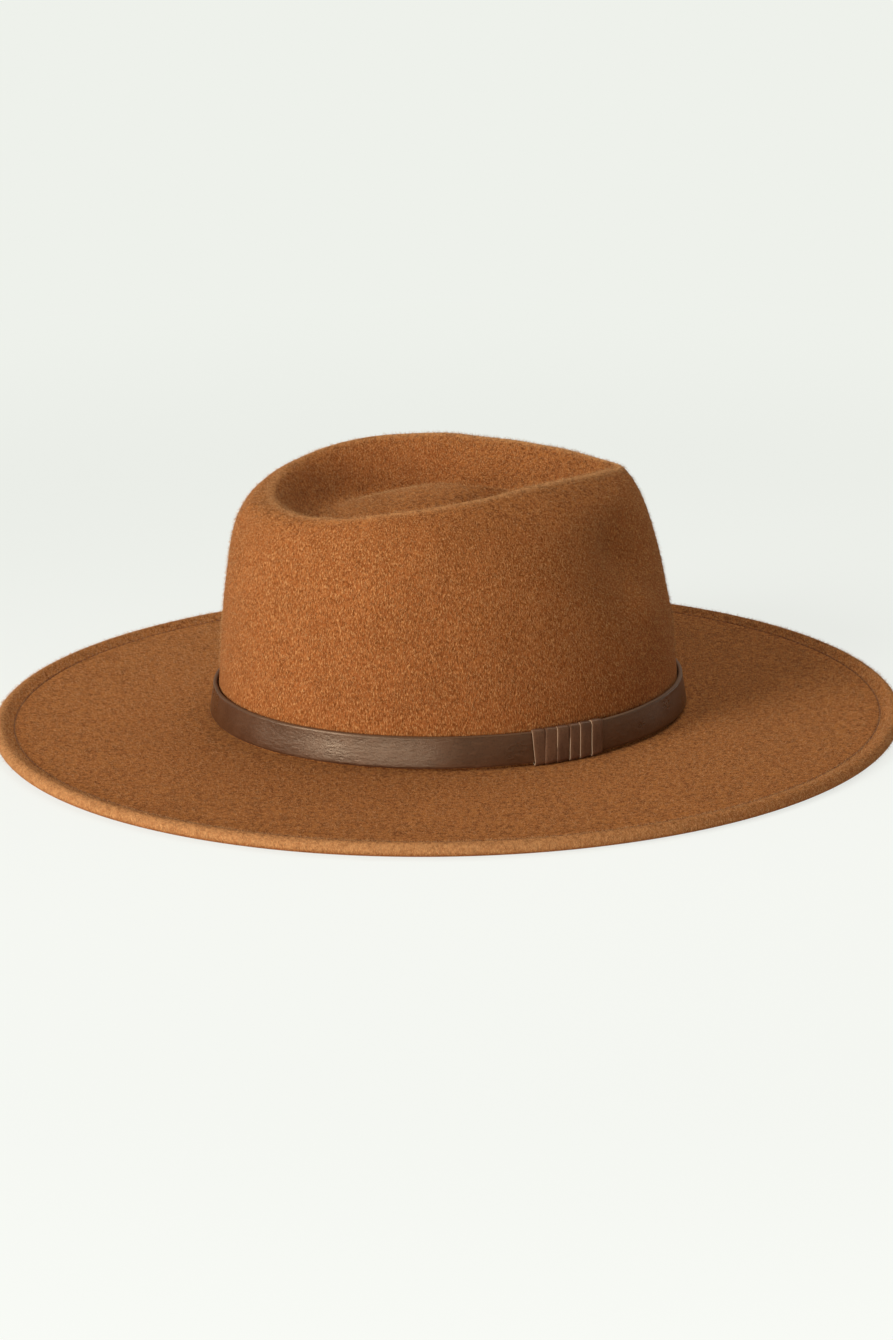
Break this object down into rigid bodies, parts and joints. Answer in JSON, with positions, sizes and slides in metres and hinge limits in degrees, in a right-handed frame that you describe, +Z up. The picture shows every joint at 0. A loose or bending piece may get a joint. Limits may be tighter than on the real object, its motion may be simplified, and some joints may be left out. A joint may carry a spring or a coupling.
{
  "type": "fedora hat",
  "caption": "Wide flat-brimmed felt fedora with a teardrop crown, rolled and stitched brim edge, and a slip-on leather hatband with a wound keeper.",
  "frame": {"origin": "bottom centre of the bounding box: the middle of the brim, on the surface that the hat stands on", "axes": "+X towards the front of the hat, along its longest extent; +Y to the wearer's left; +Z up"},
  "size_m": [0.404, 0.352, 0.1174],
  "materials": {
    "felt": "brushed wool felt",
    "strap_leather": "satin",
    "thong_leather": "satin",
    "thread": "matt",
    "grosgrain": "ribbed ribbon",
    "spring_steel": "drawn",
    "brass": "crimped"
  },
  "bodies": {
    "hat": {"felt_body": "felt", "brim_wire": "spring_steel", "wire_joiner": "brass", "brim_top_thread": "thread", "brim_bobbin_thread": "thread", "sweatband": "grosgrain", "sweatband_thread": "thread", "sweatband_join_tape": "grosgrain"},
    "hatband": {"hatband_strap": "strap_leather", "keeper_wrap": "thong_leather"}
  },
  "joints": [
    {"name": "hatband_lift", "type": "slide", "parent": "hat", "child": "hatband", "axis": [0, 0, 1], "range_m": [0, 0.12]}
  ]
}
